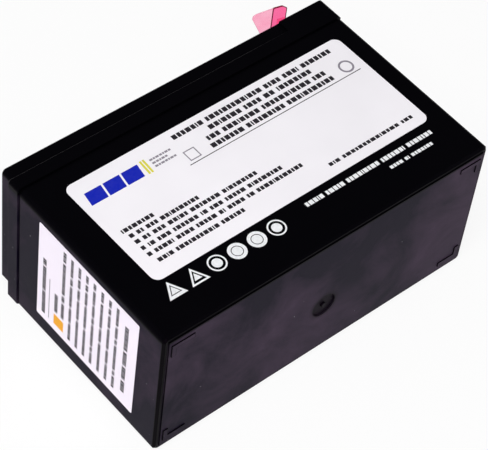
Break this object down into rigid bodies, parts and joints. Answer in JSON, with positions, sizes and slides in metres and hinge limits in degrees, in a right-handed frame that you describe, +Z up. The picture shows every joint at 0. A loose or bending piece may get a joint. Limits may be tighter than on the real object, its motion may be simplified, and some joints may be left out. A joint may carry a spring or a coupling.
{
  "type": "ups battery cartridge",
  "caption": "Sealed lead-acid battery block for a small uninterruptible power supply, with push-on tab terminals, a vent cover and a soft cap on the positive tab.",
  "frame": {"origin": "middle of the footprint, on the ground under the broad back face", "axes": "+X along the length towards the positive terminal, +Y from the base to the terminals, +Z up out of the labelled broad face"},
  "size_m": [0.1516, 0.1046, 0.065],
  "materials": {
    "case_plastic": "satin black ABS",
    "valve_rubber": "matt",
    "lead": "dull cast lead",
    "tinned_brass": "tin plated",
    "seal_black": "cast epoxy",
    "seal_red": "cast epoxy",
    "positive_paste": "dry lead dioxide paste",
    "negative_paste": "sponge lead paste",
    "glass_mat": "soft glass fibre",
    "label_film": "satin film",
    "cap_vinyl": "translucent soft vinyl"
  },
  "bodies": {
    "root": {"container": "case_plastic", "lid": "case_plastic", "vent_cover": "case_plastic", "relief_valve_1": "valve_rubber", "relief_valve_2": "valve_rubber", "relief_valve_3": "valve_rubber", "relief_valve_4": "valve_rubber", "relief_valve_5": "valve_rubber", "relief_valve_6": "valve_rubber", "negative_pole": "lead", "negative_tab": "tinned_brass", "negative_seal": "seal_black", "positive_pole": "lead", "positive_tab": "tinned_brass", "positive_seal": "seal_red", "cell_1_positive_plates": "positive_paste", "cell_1_negative_plates": "negative_paste", "cell_1_glass_mat": "glass_mat", "cell_2_positive_plates": "positive_paste", "cell_2_negative_plates": "negative_paste", "cell_2_glass_mat": "glass_mat", "cell_3_positive_plates": "positive_paste", "cell_3_negative_plates": "negative_paste", "cell_3_glass_mat": "glass_mat", "cell_4_positive_plates": "positive_paste", "cell_4_negative_plates": "negative_paste", "cell_4_glass_mat": "glass_mat", "cell_5_positive_plates": "positive_paste", "cell_5_negative_plates": "negative_paste", "cell_5_glass_mat": "glass_mat", "cell_6_positive_plates": "positive_paste", "cell_6_negative_plates": "negative_paste", "cell_6_glass_mat": "glass_mat", "cell_link_1": "lead", "cell_link_2": "lead", "cell_link_3": "lead", "cell_link_4": "lead", "cell_link_5": "lead", "face_label": "label_film", "end_label": "label_film", "terminal_cap": "cap_vinyl"}
  },
  "joints": []
}
